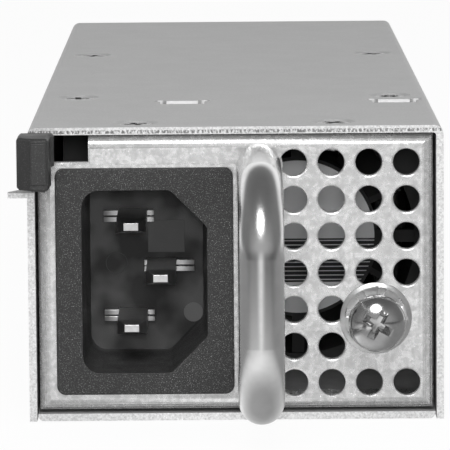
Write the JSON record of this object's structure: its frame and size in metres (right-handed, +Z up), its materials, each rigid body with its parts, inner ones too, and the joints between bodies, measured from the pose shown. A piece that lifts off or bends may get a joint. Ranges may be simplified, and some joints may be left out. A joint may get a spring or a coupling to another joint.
{
  "type": "hot swap server power supply",
  "caption": "Slim sheet metal server power supply module with a mains inlet, wire handle, sprung side latch, round hole grille with a fan behind it, and a card edge connector.",
  "frame": {"origin": "middle of the flat bottom face of the case", "axes": "+Z up, +Y from the front panel towards the rear card edge, +X to the right seen from the front"},
  "size_m": [0.0591, 0.2271, 0.0402],
  "materials": {
    "zinc_sheet": "zinc plated sheet, satin",
    "panel_sheet": "zinc plated sheet, mottled",
    "plated_rod": "nickel plated rod",
    "plated_screw": "nickel plated",
    "spring_steel": "rolled spring steel",
    "black_plastic": "fine speckled moulding",
    "latch_plastic": "fine matt moulding",
    "blade_metal": "nickel plated brass strip",
    "fan_plastic": "glass filled moulding",
    "label_film": "grey film",
    "board_green": "lacquered laminate",
    "contact_gold": "gold plated",
    "insulator_film": "clear film",
    "sink_metal": "extruded",
    "ferrite": "matt",
    "winding": "enamelled wire",
    "film_box": "moulded box",
    "disc_blue": "dipped",
    "can_sleeve": "sleeve",
    "package_black": "moulded package",
    "fuse_ceramic": "glazed",
    "brass_post": "turned",
    "wire_brown": "extruded insulation",
    "wire_blue": "extruded insulation",
    "wire_green": "extruded insulation",
    "wire_black": "extruded insulation",
    "nylon": "moulded insulation"
  },
  "bodies": {
    "case": {"board_posts": "brass_post", "board_screws": "plated_screw", "boost_choke": "winding", "bottom_tray": "zinc_sheet", "bridge_rectifier": "package_black", "bulk_capacitor": "can_sleeve", "clinch_nuts": "plated_screw", "control_board": "board_green", "cover_screws": "plated_screw", "disc_capacitors": "disc_blue", "earth_blade": "blade_metal", "earth_nut": "plated_screw", "earth_wire": "wire_green", "edge_contacts": "contact_gold", "fan_bracket": "zinc_sheet", "fan_frame": "fan_plastic", "fan_label": "label_film", "fan_lead": "wire_black", "fan_screws": "plated_screw", "film_capacitor": "film_box", "filter_choke": "winding", "front_panel": "panel_sheet", "fuse": "fuse_ceramic", "handle": "plated_rod", "handle_screws": "plated_screw", "handle_washers": "plated_screw", "inlet_body": "black_plastic", "insulator_sheet": "insulator_film", "latch_foot": "spring_steel", "latch_rivets": "plated_screw", "line_blade": "blade_metal", "line_wire": "wire_brown", "main_board": "board_green", "neutral_blade": "blade_metal", "neutral_wire": "wire_blue", "output_capacitors": "can_sleeve", "output_choke": "winding", "output_rectifiers": "package_black", "primary_heatsink": "sink_metal", "primary_transistors": "package_black", "rear_panel": "zinc_sheet", "secondary_heatsink": "sink_metal", "top_cover": "zinc_sheet", "transformer_core": "ferrite", "transformer_winding": "winding", "wire_receptacles": "nylon"},
    "latch": {"latch_arm": "spring_steel", "latch_cap": "latch_plastic"},
    "fan_wheel": {"fan_rotor": "fan_plastic"},
    "earth_screw": {"earth_screw": "plated_screw"},
    "lock_washer": {"lock_washer": "plated_screw"}
  },
  "joints": [
    {"name": "latch_press", "type": "hinge", "parent": "case", "child": "latch", "pos_m": [-0.02665, -0.0455, 0.0372], "axis": [0, 0, 1], "range_deg": [0, 4.5], "stiffness_Nm_per_rad": 4},
    {"name": "fan_spin", "type": "hinge", "parent": "case", "child": "fan_wheel", "pos_m": [0.0092, -0.0325, 0.0192], "axis": [0, 1, 0], "continuous": true},
    {"name": "earth_screw_turn", "type": "hinge", "parent": "case", "child": "earth_screw", "pos_m": [0.019, -0.0925, 0.0139], "axis": [0, 1, 0], "continuous": true},
    {"name": "lock_washer_slide", "type": "slide", "parent": "case", "child": "lock_washer", "axis": [0, -1, 0], "range_m": [0, 0.0031]}
  ]
}
